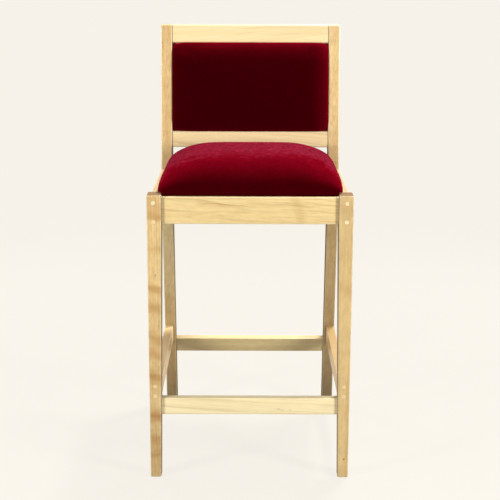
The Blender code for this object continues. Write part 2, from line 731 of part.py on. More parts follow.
rail_screw_high = RAIL_TOP - RAIL_SCREW_DROP
rail_screws = (rail_screw_high - RAIL_SCREW_SPACING, rail_screw_high)
stretcher_screw_high = SIDE_STRETCHER_TOP - STRETCHER_SCREW_DROP
stretcher_screws = (stretcher_screw_high - STRETCHER_SCREW_SPACING, stretcher_screw_high)
stretcher_bottom = SIDE_STRETCHER_TOP - SIDE_STRETCHER_HEIGHT
for side in SIDES:
    rail = make_side_member(
        "side_seat_rail", side, SIDE_RAIL_MIDDLE, SIDE_RAIL_THICKNESS, RAIL_BOTTOM, RAIL_TOP)
    stretcher = make_side_member(
        "side_stretcher", side, SIDE_STRETCHER_MIDDLE, SIDE_STRETCHER_THICKNESS,
        stretcher_bottom, SIDE_STRETCHER_TOP)
    # The front legs stand wider than the side members, so their screws sit a little outside the middle
    for end, legs, share in (("front", front_legs, 1), ("rear", rear_legs, 0)):
        rail_x = SIDE_RAIL_MIDDLE + share * RAIL_SCREW_OUTSET
        stretcher_x = SIDE_STRETCHER_MIDDLE + share * STRETCHER_SCREW_OUTSET
        join_end(end, "rail", side, rail_x, rail_screws, legs[side], rail)
        join_end(end, "stretcher", side, stretcher_x, stretcher_screws, legs[side], stretcher)

dust_cover, seat_deck = make_seat()
upward = (math.pi / 2, 0, 0)
for end in ("front", "rear"):
    for side in SIDES:
        block, (x, y) = make_corner_block(end, side, f"corner_block_{end}_{side}")
        foot = (x, y, RAIL_TOP - BLOCK_THICKNESS)
        through = (block, dust_cover, seat_deck)
        drill(f"seat_hole_{end}_{side}", 0, SEAT_SCREW_LENGTH, foot, upward, through)
        make_screw(f"seat_screw_{end}_{side}", SEAT_SCREW_LENGTH, (x, y, foot[2] - FIT), upward)
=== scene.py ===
# Bar stool: maple frame with a crimson velvet seat and back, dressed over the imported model
import math

import bmesh
import bpy
import numpy as np
from mathutils import Matrix, Vector


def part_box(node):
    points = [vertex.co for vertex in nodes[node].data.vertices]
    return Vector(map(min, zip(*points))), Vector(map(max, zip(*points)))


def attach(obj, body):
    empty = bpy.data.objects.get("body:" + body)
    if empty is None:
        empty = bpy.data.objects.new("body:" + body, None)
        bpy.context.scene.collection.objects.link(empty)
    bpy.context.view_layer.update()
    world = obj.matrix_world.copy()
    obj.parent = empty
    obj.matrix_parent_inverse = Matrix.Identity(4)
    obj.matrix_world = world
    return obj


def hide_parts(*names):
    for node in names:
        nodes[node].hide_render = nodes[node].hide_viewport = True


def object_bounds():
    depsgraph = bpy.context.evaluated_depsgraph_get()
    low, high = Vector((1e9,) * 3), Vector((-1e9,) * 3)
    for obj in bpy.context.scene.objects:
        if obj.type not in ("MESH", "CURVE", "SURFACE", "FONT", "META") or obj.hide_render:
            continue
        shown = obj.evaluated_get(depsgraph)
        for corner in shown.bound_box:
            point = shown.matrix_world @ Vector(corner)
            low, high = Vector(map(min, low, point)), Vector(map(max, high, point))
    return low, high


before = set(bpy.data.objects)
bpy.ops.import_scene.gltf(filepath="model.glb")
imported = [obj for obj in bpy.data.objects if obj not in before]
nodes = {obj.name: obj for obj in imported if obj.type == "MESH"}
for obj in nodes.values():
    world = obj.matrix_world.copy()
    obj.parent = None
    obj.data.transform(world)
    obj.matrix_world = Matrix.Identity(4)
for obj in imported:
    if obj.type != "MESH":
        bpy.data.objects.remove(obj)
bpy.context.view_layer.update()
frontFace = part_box("front_leg_right")[0].y  # depths are measured back from here
scene = bpy.context.scene
scene.view_settings.view_transform = "Standard"
print("frame: %d nodes" % len(nodes))


# one output socket of a node; arithmetic on it lays down Math nodes
class Wire:
    def __init__(self, tree, socket=None):
        self.tree = tree
        self.socket = socket

    # any node: its type, its settings first, then the values or links of its sockets
    def node(self, kind, settings=None, inputs=None, output=0):
        made = self.tree.nodes.new("ShaderNode" + kind)
        for key, value in (settings or {}).items():
            setattr(made, key, value)
        for key, value in (inputs or {}).items():
            self.feed(made.inputs[key], value)
        return Wire(self.tree, made.outputs[output] if made.outputs else None)

    def feed(self, socket, value):
        if isinstance(value, Wire):
            self.tree.links.new(value.socket, socket)
        else:
            socket.default_value = value

    def other(self, output):  # another output of the same node
        return Wire(self.tree, self.socket.node.outputs[output])

    def math(self, operation, first, second=0.0):
        return self.node("Math", {"operation": operation}, {0: first, 1: second})

    def __add__(self, value):
        return self.math("ADD", self, value)

    def __radd__(self, value):
        return self.math("ADD", value, self)

    def __sub__(self, value):
        return self.math("SUBTRACT", self, value)

    def __rsub__(self, value):
        return self.math("SUBTRACT", value, self)

    def __mul__(self, value):
        return self.math("MULTIPLY", self, value)

    def __rmul__(self, value):
        return self.math("MULTIPLY", value, self)

    def __truediv__(self, value):
        return self.math("DIVIDE", self, value)

    def __rtruediv__(self, value):
        return self.math("DIVIDE", value, self)

    def __pow__(self, value):
        return self.math("POWER", self, value)

    def __rpow__(self, value):
        return self.math("POWER", value, self)

    def size(self):
        return self.math("ABSOLUTE", self)

    def larger(self, value):
        return self.math("MAXIMUM", self, value)

    def step(self, low, high):  # soft step from 0 below low to 1 above high
        return self.node("MapRange", {"interpolation_type": "SMOOTHSTEP"},
                         {"Value": self, "From Min": low, "From Max": high})

    def xyz(self):  # the three numbers of a vector
        first = self.node("SeparateXYZ", inputs={0: self})
        return first, first.other(1), first.other(2)

    def vector(self, x, y, z):
        return self.node("CombineXYZ", inputs={0: x, 1: y, 2: z})

    def noise(self, place, scale, seed, detail=2.0):
        return self.node("TexNoise", {"noise_dimensions": "4D"},
                         {"Vector": place, "W": seed, "Scale": scale, "Detail": detail})

    def blend(self, share, first, second):  # colour mix
        return self.node("Mix", {"data_type": "RGBA"}, {0: share, 6: first, 7: second}, 2)

    def scaled(self, amount):  # a colour or vector times a number
        return self.node("VectorMath", {"operation": "SCALE"}, {0: self, "Scale": amount})

    def bump(self, strength, distance):  # this height as relief
        return self.node("Bump", inputs={"Strength": strength, "Distance": distance,
                                         "Height": self})


def newFinish(name):
    finish = bpy.data.materials.new(name)
    finish.use_nodes = True
    shader = finish.node_tree.nodes["Principled BSDF"]
    return finish, shader, Wire(finish.node_tree)


def setSockets(start, shader, values):  # links for what varies, plain values for the rest
    for name, value in values.items():
        start.feed(shader.inputs[name], value)


def colour(red, green, blue):
    return (red, green, blue, 1.0)


# Maple: ring lines from the distance to a pith line behind the board, which may lean so that the
# rings come out as arches, bent by slow noise and pushed aside round eddies; with fibre streaks,
# short flecks, amber cross bands and brown end grain, a painted highlight on the arrises, and
# painted light and shade on top faces, inner sides, ends and some bands
maple = {
    "slope": 0.0,          # how fast the rings run out of the board
    "tilt": 0.0,           # how fast the pith line leans away behind the face
    "sway": 0.020,         # long bends of the rings, m
    "ripple": 0.0022,      # short waves of the rings, m
    "offset": 0.0,         # pith line across the board, m
    "depth": 0.060,        # pith line behind the face, m
    "spacing": 0.0060,     # ring width, m
    "contrast": 0.40,      # share of the ring lines
    "streak": 0.55,        # share of the tan streaks along the grain
    "fibre": 0.12,         # light and dark of the fibres
    "thread": 0.16,        # share of the fine lines along the bent rings
    "threadLong": 6.0,     # waves of these lines per m along the grain
    "threadFine": 420.0,   # and across it
    "threadSeed": 1.1,
    "threadTone": 0.15,    # how far they darken the wood
    "fleck": 0.22,         # share of the short flecks
    "mottle": 0.10,        # cloudy patches a few mm wide
    "curl": 0.0,           # amber cross figure all over
    "figureAndLightBands": (),           # bands of amber figure, on some boards painted light and shade: place along the grain, half width, amount
    "bandWave": 0.026,     # how far the bands wander, m
    "bandSlant": 0.22,     # how far they lean
    "bandShare": 0.75,     # share of the band colour, before the clouds in it
    "eddies": (),          # rings pushed aside: place along and across, reach of both, push, m
    "knots": (),           # small dark spots: place, radius, length along the grain, amount
    "knotCore": 0.3,       # share of a spot's radius that is dark all over
    "paintedEndShade": (0.0, 0.0),    # painted shade towards the lower, left or front end, and the other one
    "paintedEndShadePower": 1.6,      # how late the painted shade begins
    "arrisHighlight": 0.65,          # share of the painted highlight colour on the arrises
    "paintedTopLighting": 1.0,        # tone of the face that looks up: painted light above 1, painted shade below 1
    "inward": 0,           # 1 or -1: the side that looks right or left is duller, and darkened with painted shade
    "inwardShade": 0.66,   # share of the painted shade on that side
    "endShare": 0.9,       # share of the end grain on the sawn ends
    "poreShare": 0.5,      # share of the pores in it
    "coat": 0.18,          # lacquer, none on the sawn ends and the inward sides
    # roughness: more on fibres, on sawn ends and inward sides, again on these, less on arrises
    "rough": {"face": 0.36, "fibre": 0.12, "dull": 0.25, "inward": 0.25, "edge": 0.05},
    "relief": {"fibre": 0.6, "rings": 0.3, "fleck": 0.3},
    "bump": (0.25, 0.0004),  # strength, and height in m
    # noise drawn out along the grain: waves per m along and across it, seed, detail
    "noise": {
        "sway": (2.6, 6.0, 0.1, 1.0), "ripple": (30.0, 60.0, 0.2, 2.0),
        "strength": (5.0, 22.0, 0.3, 2.0), "fibre": (14.0, 900.0, 0.4, 3.0),
        "streak": (1.6, 110.0, 0.5, 2.0), "fleck": (150.0, 1300.0, 0.6, 2.0),
        "curl": (26.0, 9.0, 0.7, 3.0), "cloud": (60.0, 150.0, 0.8, 3.0),
        "wave": (12.0, 34.0, 0.9, 2.0), "pores": (40.0, 900.0, 0.0, 3.0),
    },
    # where a soft step on a noise, on the turn of a ring or on the facing begins and ends
    "steps": {
        "strength": (0.32, 0.66), "streak": (0.32, 0.70), "fleck": (0.66, 0.76),
        "curl": (0.46, 0.74), "pores": (0.35, 0.70), "thread": (0.50, 0.74),
        "late": (0.42, 0.88), "lateEnd": (0.88, 1.0),
        "top": (0.5, 0.9), "inward": (0.6, 0.9), "end": (0.78, 0.96), "edge": (0.03, 0.20),
    },
    "pale": colour(0.79, 0.585, 0.280),
    "tan": colour(0.70, 0.480, 0.205),
    "line": colour(0.46, 0.265, 0.095),
    "figureAndLightTone": colour(0.50, 0.275, 0.080),
    "end": colour(0.40, 0.205, 0.075),
    # colour of the painted highlight on the arrises
    "edge": colour(0.97, 0.84, 0.55),
    # colour of the painted shade
    "shade": colour(0.050, 0.024, 0.004),
    "seed": 0.0,
}


def mapleFinish(name, grain, low, high, changes):
    look = dict(maple, **changes)
    steps, rough, relief = look["steps"], look["rough"], look["relief"]
    finish, shader, start = newFinish(name)
    world = start.node("TexCoord", output="Object")
    middle, axis = (low + high) / 2, "XYZ".index(grain)
    halfLong = (high - low)[axis] / 2
    x, y, z = start.node("VectorMath", {"operation": "SUBTRACT"}, {0: world, 1: middle}).xyz()
    along, across, deep = {"X": (x, z, y), "Y": (y, z, x), "Z": (z, x, y)}[grain]

    def field(kind):  # noise drawn out along the grain
        lengthwise, sideways, shift, detail = look["noise"][kind]
        place = start.vector(along * lengthwise, across * sideways, deep * sideways)
        return start.noise(place, 1.0, look["seed"] + shift, detail)

    def patch(kind):  # the same noise cut to soft patches
        return field(kind).step(*steps[kind])

    def hill(distance, reach):  # 1 at no distance, falling off as a bell
        share = distance / reach
        return start.math("EXPONENT", share * share * -1)

    sway, ripple = field("sway") - 0.5, field("ripple") - 0.5
    height = across + along * look["slope"] + sway * look["sway"] + ripple * look["ripple"]
    height = height + look["offset"]
    for nearAlong, nearAcross, reachAlong, reachAcross, push in look["eddies"]:
        here = hill(along - nearAlong, reachAlong) * hill(across - nearAcross, reachAcross)
        height = height + here * push
    behind = deep + along * look["tilt"] + look["depth"]
    radius = (height * height + behind * behind) ** 0.5
    turn = start.math("FRACT", radius / look["spacing"])
    late = turn.step(*steps["late"]) * (1 - turn.step(*steps["lateEnd"]))
    rings = late * patch("strength")
    fibre, fleck = field("fibre"), patch("fleck")
    fine = look["threadFine"]
    bentPlace = start.vector(along * look["threadLong"], height * fine, deep * fine)
    thread = start.noise(bentPlace, 1.0, look["seed"] + look["threadSeed"])
    cloud, wave = field("cloud") - 0.5, field("wave") - 0.5

    wood = start.blend(patch("streak") * look["streak"], look["pale"], look["tan"])
    wood = start.blend(rings * look["contrast"], wood, look["line"])
    wood = start.blend(thread.step(*steps["thread"]) * look["thread"], wood, look["line"])
    wood = start.blend(fleck * look["fleck"], wood, look["line"])
    # amber figure; the bands are figure on some boards and painted light and shade on others
    figure = patch("curl") * look["curl"]
    for place, half, amount in look["figureAndLightBands"]:
        crossing = along + wave * look["bandWave"] + across * look["bandSlant"]
        figure = figure + hill(crossing - (place - middle[axis]), half) * amount
    if look["curl"] or look["figureAndLightBands"]:
        wood = start.blend(figure * (look["bandShare"] + cloud), wood, look["figureAndLightTone"])
    normal = start.node("NewGeometry", output="Normal").xyz()
    tone = 1 + (fibre - 0.5) * look["fibre"] + (0.5 - thread) * look["threadTone"]
    tone = tone + cloud * look["mottle"]
    # with painted light and painted shade on the faces that look up
    wood = wood.scaled(tone * (1 + normal[2].step(*steps["top"]) * (look["paintedTopLighting"] - 1)))
    # painted shade towards the ends
    for sign, amount in zip((-1, 1), look["paintedEndShade"]):
        if amount:
            nearEnd = (0.5 + along * (sign * 0.5 / halfLong)).larger(0.0) ** look["paintedEndShadePower"]
            wood = start.blend(nearEnd * amount, wood, look["shade"])

    # painted shade on the side that looks inward, which is also duller
    inside = (normal[0] * look["inward"]).step(*steps["inward"])
    wood = start.blend(inside * look["inwardShade"], wood, look["shade"])
    nx, ny, nz = (part.size() for part in normal)
    endFace = (nx, ny, nz)[axis].step(*steps["end"])
    edge = (1 - nx.larger(ny).larger(nz)).step(*steps["edge"])
    # painted highlight on the arrises
    wood = start.blend(edge * look["arrisHighlight"], wood, look["edge"])
    endWood = start.blend(patch("pores") * look["poreShare"], look["end"], look["line"])
    wood = start.blend(endFace * look["endShare"], wood, endWood)
    for spot, reach, stretch, amount in look["knots"]:
        away = start.node("VectorMath", {"operation": "SUBTRACT"}, {0: world, 1: spot})
        shrink = [1.0 / stretch if number == axis else 1.0 for number in range(3)]
        away = start.node("VectorMath", {"operation": "MULTIPLY"}, {0: away, 1: shrink})
        away = start.node("VectorMath", {"operation": "LENGTH"}, {0: away}, "Value")
        dark = (1 - away.step(reach * look["knotCore"], reach)) * amount
        wood = start.blend(dark, wood, look["end"])
    bare = endFace + inside
    dull = rough["face"] + fibre * rough["fibre"] + bare * rough["dull"]
    dull = dull + inside * rough["inward"] - edge * rough["edge"]
    raised = fibre * relief["fibre"] + rings * relief["rings"] - fleck * relief["fleck"]
    setSockets(start, shader, {
        "Base Color": wood, "Roughness": dull, "Normal": raised.bump(*look["bump"]),
        "Coat Weight": look["coat"] - bare * look["coat"], "Coat Roughness": 0.28,
        "Specular IOR Level": 0.45})
    return finish


def tones(pale, tan):
    return {"pale": colour(*pale), "tan": colour(*tan)}


legEnd, legArrisHighlight = colour(0.19, 0.085, 0.026), colour(1.0, 0.93, 0.68)  # front legs: end grain, and the painted highlight on the arrises
boards = {
    # painted shade towards the foot and on the inner side, and a painted highlight on the arrises
    "front_leg_left": ("Z", dict(
        tones((0.770, 0.568, 0.272), (0.675, 0.453, 0.190)), seed=3.1, inward=1, curl=0.95,
        contrast=0.35, depth=0.03, offset=0.02, paintedEndShade=(0.13, 0.0), mottle=0.60, thread=0.34,
        arrisHighlight=1.0, figureAndLightTone=colour(0.44, 0.225, 0.058), end=legEnd, edge=legArrisHighlight,
        figureAndLightBands=((0.655, 0.014, 0.50), (0.633, 0.010, 0.75), (0.460, 0.009, 0.70),
               (0.417, 0.016, 0.75), (0.345, 0.010, 0.80), (0.304, 0.012, 0.75),
               (0.248, 0.010, 0.70), (0.154, 0.017, 0.75), (0.094, 0.016, 0.70),
               (0.040, 0.040, 0.35)),
        knots=(((-0.2155, frontFace, 0.4940), 0.0030, 1.6, 0.38),))),
    # painted shade towards both ends and on the inner side, and a painted highlight on the arrises
    "front_leg_right": ("Z", dict(
        tones((0.755, 0.550, 0.252), (0.665, 0.455, 0.190)), seed=7.7, inward=-1, curl=0.22,
        contrast=0.30, depth=0.08, paintedEndShade=(0.05, 0.18), mottle=0.45, thread=0.28,
        arrisHighlight=1.0, end=legEnd, edge=legArrisHighlight,
        figureAndLightBands=((0.651, 0.012, 0.34), (0.462, 0.012, 0.28)),
        knots=(((0.2230, frontFace, 0.0460), 0.0034, 1.2, 0.7),))),
    # painted shade towards the foot and on the inner side; the broad pale band under the seat is
    # painted light
    "rear_leg_left": ("Z", dict(
        tones((0.725, 0.505, 0.225), (0.610, 0.395, 0.155)), seed=12.4, inward=1,
        contrast=0.24, depth=0.24, streak=0.85, thread=0.48, mottle=0.40, paintedEndShade=(0.74, 0.0),
        paintedEndShadePower=2.4, figureAndLightTone=colour(0.72, 0.64, 0.38), figureAndLightBands=((0.500, 0.170, 0.55),))),
    # painted shade towards the foot and on the inner side; the broad dark band under the seat is
    # painted shade
    "rear_leg_right": ("Z", dict(
        tones((0.790, 0.570, 0.275), (0.690, 0.470, 0.205)), seed=15.9, inward=-1,
        contrast=0.24, depth=0.24, streak=0.85, thread=0.48, mottle=0.40, paintedEndShade=(0.84, 0.0),
        paintedEndShadePower=1.45, figureAndLightTone=colour(0.46, 0.285, 0.090), figureAndLightBands=((0.540, 0.110, 0.34),))),
    # painted light on the top face, and a brighter painted highlight on the arrises
    "front_seat_rail": ("X", dict(
        tones((0.800, 0.618, 0.296), (0.712, 0.515, 0.223)), seed=21.3, contrast=0.40, slope=0.08,
        tilt=0.02, depth=0.075, sway=0.030, ripple=0.0080, spacing=0.0046, arrisHighlight=1.0, thread=0.60,
        mottle=0.30, threadLong=9.0, paintedTopLighting=1.30, edge=colour(1.0, 0.95, 0.72),
        figureAndLightBands=((0.110, 0.012, 0.40), (0.030, 0.030, 0.06)),
        eddies=((-0.113, 0.006, 0.016, 0.010, 0.0085), (-0.150, -0.010, 0.020, 0.010, -0.005),
                (-0.060, -0.012, 0.030, 0.010, -0.006)))),
    "rear_seat_rail": ("X", dict(seed=24.8)),
    "side_seat_rail_left": ("Y", dict(seed=27.2)),
    "side_seat_rail_right": ("Y", dict(seed=30.5)),
    # painted shade on the top face
    "front_stretcher": ("X", dict(
        tones((0.955, 0.815, 0.485), (0.895, 0.735, 0.405)), seed=33.6, contrast=0.28, slope=0.07,
        spacing=0.0066, thread=0.18, paintedTopLighting=0.72,
        knots=(((0.068, frontFace + 0.007, 0.1690), 0.0034, 2.4, 0.30),
               ((0.077, frontFace + 0.007, 0.1660), 0.0026, 2.6, 0.26),
               ((0.095, frontFace + 0.007, 0.1668), 0.0022, 2.4, 0.26)))),
    # darker tones stand in for shade, with painted shade towards the ends and painted light on the
    # top face
    "rear_stretcher": ("X", dict(
        tones((0.555, 0.443, 0.226), (0.495, 0.372, 0.176)), seed=36.1, contrast=0.34,
        paintedTopLighting=1.75, arrisHighlight=0.4, mottle=0.30, paintedEndShade=(0.42, 0.10), paintedEndShadePower=7.0)),
    # darker tones stand in for shade; the pale band near the rear is a painted pool of light
    "side_stretcher_left": ("Y", dict(
        tones((0.65, 0.430, 0.190), (0.55, 0.345, 0.140)), seed=39.9, thread=0.25, arrisHighlight=0.5,
        figureAndLightTone=colour(0.95, 0.72, 0.37), figureAndLightBands=((frontFace + 0.450, 0.050, 1.3),))),
    # darker tones stand in for shade
    "side_stretcher_right": ("Y", dict(
        tones((0.625, 0.412, 0.164), (0.550, 0.334, 0.120)), seed=42.2, thread=0.25, arrisHighlight=0.5)),
    "crest_rail": ("X", dict(
        tones((0.885, 0.720, 0.400), (0.835, 0.650, 0.330)), seed=45.7, contrast=0.28,
        slope=-0.12, spacing=0.009)),
    "lower_back_rail": ("X", dict(
        tones((0.815, 0.635, 0.345), (0.750, 0.555, 0.280)), seed=48.3, contrast=0.30,
        slope=0.12, spacing=0.007)),
    "corner_block_front_left": ("X", dict(seed=51.0)),
    "corner_block_front_right": ("X", dict(seed=52.0)),
    "corner_block_rear_left": ("X", dict(seed=53.0)),
    "corner_block_rear_right": ("X", dict(seed=54.0)),
}


def dress(node, finish):
    held = nodes[node].data.materials
    held.clear()
    held.append(finish)


for node, (grain, changes) in boards.items():
    dress(node, mapleFinish(node + "_maple", grain, *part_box(node), changes))

# Plugs: two tones of the same wood, their end grain as pale as the rest
plugWood = dict(tones((0.90, 0.74, 0.43), (0.84, 0.65, 0.35)), seed=61.0, contrast=0.15,
                end=colour(0.84, 0.65, 0.35), spacing=0.0045)
tanPlugWood = dict(plugWood, **tones((0.86, 0.655, 0.330), (0.79, 0.570, 0.265)), seed=64.0)
tanPlugWood["end"] = tanPlugWood["tan"]
plugFinish = mapleFinish("plug_maple", "X", *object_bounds(), plugWood)
tanPlugFinish = mapleFinish("plug_tan_maple", "X", *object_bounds(), tanPlugWood)
tanPlugs = ("rail_plug_front_left_lower", "stretcher_plug_front_left_upper",
            "stretcher_plug_front_left_lower", "stretcher_plug_front_right_upper",
            "stretcher_plug_front_right_lower")
for node in nodes:
    if "_plug_" in node:
        dress(node, tanPlugFinish if node in tanPlugs else plugFinish)
print("maple: %d boards and the plugs" % len(boards))


# Plywood: thin plies seen at the edges, pale birch on the faces
plywood = {
    "face": colour(0.60, 0.44, 0.26),
    "ply": colour(0.33, 0.20, 0.10),
    "plies": 0.0024,       # two plies, one pale and one dark, m
    "plyStep": (0.40, 0.60),
    "plyShare": 0.7,
    "edgeStep": (0.5, 0.8),
    "grain": (9.0, 160.0),  # waves of the grain per m, along and across
    "grainStep": (0.3, 0.7),
    "grainShare": 0.5,
    "rough": (0.62, 0.2),  # everywhere, and more along the grain
    "seed": 71.0,
}


def plywoodFinish(name, stack):
    finish, shader, start = newFinish(name)
    place = start.node("TexCoord", output="Object").xyz()
    normal = start.node("NewGeometry", output="Normal").xyz()
    axis = "XYZ".index(stack)
    edge = 1 - normal[axis].size().step(*plywood["edgeStep"])
    layers = start.math("FRACT", place[axis] / plywood["plies"]).step(*plywood["plyStep"])
    long, fine = plywood["grain"]
    grainPlace = start.vector(place[0] * long, place[1] * fine, place[2] * fine)
    grain = start.noise(grainPlace, 1.0, plywood["seed"], 3.0)
    figure = grain.step(*plywood["grainStep"]) * plywood["grainShare"]
    wood = start.blend(figure, plywood["face"], plywood["ply"])
    wood = start.blend(edge * layers * plywood["plyShare"], wood, plywood["ply"])
    even, more = plywood["rough"]
    setSockets(start, shader, {"Base Color": wood, "Roughness": even + grain * more})
    return finish


# Dust cloth: black non-woven felt of pressed fibres
dustCloth = {
    "dark": colour(0.006, 0.006, 0.007),
    "light": colour(0.030, 0.030, 0.032),
    "threads": (900.0, 240.0),  # fibres per m, across and along
    "threadStep": (0.3, 0.7),
    "dots": 520.0,         # pressed dots per m
    "rough": (0.80, 0.15),  # everywhere, and more on the fibres
    "bump": (0.4, 0.0003),  # strength, and height in m
    "seed": 81.0,
}


def dustClothFinish():
    finish, shader, start = newFinish("cambric_cloth")
    world = start.node("TexCoord", output="Object")
    x, y, z = world.xyz()
    fine, long = dustCloth["threads"]
    threads = start.noise(start.vector(x * fine, y * long, z), 1.0, dustCloth["seed"], 3.0)
    dots = start.node("TexVoronoi", inputs={"Vector": world, "Scale": dustCloth["dots"]})
    share = threads.step(*dustCloth["threadStep"])
    even, more = dustCloth["rough"]
    setSockets(start, shader, {
        "Base Color": start.blend(share, dustCloth["dark"], dustCloth["light"]),
        "Roughness": even + threads * more, "Normal": (threads + dots).bump(*dustCloth["bump"])})
    return finish


# Screws: bright plated steel with a fine mottle
steel = {
    "dark": colour(0.50, 0.50, 0.48),
    "bright": colour(0.66, 0.66, 0.63),
    "mottle": 2600.0,      # spots per m
    "rough": (0.24, 0.16),  # everywhere, and more on the bright spots
    "seed": 91.0,
}


def steelFinish():
    finish, shader, start = newFinish("plated_steel")
    world = start.node("TexCoord", output="Object")
    mottle = start.noise(world, steel["mottle"], steel["seed"], 2.0)
    even, more = steel["rough"]
    setSockets(start, shader, {
        "Base Color": start.blend(mottle, steel["dark"], steel["bright"]),
        "Roughness": even + mottle * more, "Metallic": 1.0})
    return finish


dress("seat_deck", plywoodFinish("deck_plywood", "Z"))
dress("back_board", plywoodFinish("board_plywood", "Y"))
dress("seat_dust_cover", dustClothFinish())
screwFinish = steelFinish()
for node in nodes:
    if "_screw_" in node:
        dress(node, screwFinish)
print("plywood, dust cloth and screws dressed")


# Velvet: near black red from straight on, with a painted sheen that is brighter where the pile is
# seen along the surface and on faces that look up, pink at the very edge of upward faces, and
# painted light along some rims
velvet = {
    # near black red seen straight on, then the painted sheen: red seen along the surface, pink at
    # the very edge
    "deep": colour(0.041, 0.0001, 0.0014),
    "bright": colour(0.246, 0.0010, 0.0095),
    "bloom": colour(0.202, 0.0096, 0.0250),
    "patches": 34.0,       # brushed patches of the pile, per m
    "strokes": 5,          # strokes of the brush to a patch
    "nap": 110.0,          # clumps of the pile, per m
    "tufts": 1500.0,       # single tufts, per m
    "patchStep": (0.28, 0.72),
    "upwardStep": (-0.10, 0.45),  # rise of a face, from one that looks down a little
    "topSheenShare": 0.55,      # share of the painted sheen that upper faces keep when seen straight on
    "topSheenPower": 1.2,
    "lean": {"all": 0.40, "upward": 0.36, "patches": 0.20, "strokes": 0.12, "tufts": 0.16},
    "rimLightSpread": (0.8, 0.4),  # painted rim light all along each rim, and more in the patches
    "bloomStep": (0.64, 0.92),
    "bloomPatches": 0.16,  # how far patches and clumps break up the pink edge
    "bloomNap": 0.30,
    "napTone": {"all": 0.35, "along": 0.6, "grazing": 1.8},
    "gapShadeTone": 0.35,    # tone of the painted shade along the bottom edge
    "gapShadeSoft": 0.006,   # height over which the painted shade fades out, m
    "rough": (0.86, 0.12),  # everywhere, and more on the tufts
    "relief": {"tufts": 0.7, "strokes": 0.3},
    "bump": (0.35, 0.0006),  # strength, and height in m
    "sheen": {"Sheen Weight": 0.12, "Sheen Roughness": 0.30,
              "Sheen Tint": colour(0.90, 0.06, 0.14)},
}


def velvetFinish(name, seed, tone=1.0, brushedUp=(), gapShadeBelow=None):
    finish, shader, start = newFinish(name)
    world = start.node("TexCoord", output="Object")
    patches = start.noise(world, velvet["patches"], seed, 3.0).step(*velvet["patchStep"])
    strokes = start.noise(world, velvet["patches"] * velvet["strokes"], seed + 1, 2.0)
    strokes = strokes.step(*velvet["patchStep"])
    tufts = start.noise(world, velvet["tufts"], seed + 2, 2.0)
    nap = start.noise(world, velvet["nap"], seed + 3, 3.0) - 0.5
    along = start.node("LayerWeight", inputs={"Blend": 0.5}, output="Facing")
    rise = start.node("NewGeometry", output="Normal").xyz()[2]
    upward = rise.step(*velvet["upwardStep"])
    # painted sheen on top faces, kept when seen straight on: one less the level part of the normal
    paintedTopSheen = (1 - (1 - rise * rise).larger(0.0) ** 0.5) ** velvet["topSheenPower"] * upward
    along = along.larger(paintedTopSheen * velvet["topSheenShare"])
    # painted sheen: share of the brighter red, from the facing and the rise of the face
    share = velvet["lean"]
    lean = share["all"] + upward * share["upward"] + patches * share["patches"]
    lean = along * (lean + strokes * share["strokes"] + tufts * share["tufts"])
    even, more = velvet["rimLightSpread"]
    # painted light along the rims, growing from where each begins
    for axis, begins, reach, amount in brushedUp:
        near = ((world.xyz()[axis] - begins) / reach).larger(0.0)
        lean = lean + near * near * amount * (even + patches * more)
    pile = start.blend(lean, velvet["deep"], velvet["bright"])
    # painted pink sheen at the very edge of faces that look up, broken by patches and clumps
    grazing = along + patches * velvet["bloomPatches"] - velvet["bloomPatches"] / 2
    grazing = (grazing + nap * velvet["bloomNap"]).step(*velvet["bloomStep"]) * upward
    pile = start.blend(grazing, pile, velvet["bloom"])
    share = velvet["napTone"]
    clumps = nap * (share["all"] + along * share["along"] + grazing * share["grazing"])
    pile = pile.scaled((1 + clumps) * tone)
    if gapShadeBelow:  # painted shade in the gap along the bottom edge
        free = world.xyz()[2].step(gapShadeBelow - velvet["gapShadeSoft"], gapShadeBelow)
        pile = pile.scaled(velvet["gapShadeTone"] + free * (1 - velvet["gapShadeTone"]))
    raised = tufts * velvet["relief"]["tufts"] + strokes * velvet["relief"]["strokes"]
    even, more = velvet["rough"]
    setSockets(start, shader, {
        "Base Color": pile, "Roughness": even + tufts * more,
        "Normal": raised.bump(*velvet["bump"]), "Specular IOR Level": 0.0, **velvet["sheen"]})
    return finish


# soft step from 0 below low to 1 above high: three squares less two cubes
def softStep(values, low, high):
    share = ((values - low) / (high - low)).clip(0, 1)
    return share * share * (3 - 2 * share)


# length along a path from its start, added up from its steps
def runLength(stepsAcross, stepsAlong):
    return np.concatenate([[0], np.cumsum(np.hypot(stepsAcross, stepsAlong))])


# square grid of rings: the ring number from 0 in the middle to 1 at the rim,
# and for each point the place where its ray meets the unit square
def squareRings(count):
    line = np.linspace(-1, 1, count)
    across, along = np.meshgrid(line, line, indexing="ij")
    ring = np.maximum(np.abs(across), np.abs(along))
    whole = np.where(ring > 0, ring, 1)
    edgeAcross = np.where(ring > 0, across / whole, 1)
    edgeAlong = np.where(ring > 0, along / whole, 0)
    return edgeAcross, edgeAlong, ring


# plan of the rim: the four sides of the unit square are laid along four bent paths by length
def rimPlan(edgeAcross, edgeAlong, paths):
    plan = np.zeros(edgeAcross.shape + (2,))
    sides = {
        "front": (np.isclose(edgeAlong, -1), edgeAcross),
        "right": (np.isclose(edgeAcross, 1), edgeAlong),
        "rear": (np.isclose(edgeAlong, 1), edgeAcross),
        "left": (np.isclose(edgeAcross, -1), edgeAlong),
    }
    for side, (here, travel) in sides.items():
        path = np.array(paths[side])
        length = runLength(*np.diff(path, axis=0).T)
        share = (travel[here] + 1) / 2 * length[-1]
        plan[here, 0] = np.interp(share, length, path[:, 0])
        plan[here, 1] = np.interp(share, length, path[:, 1])
    return plan


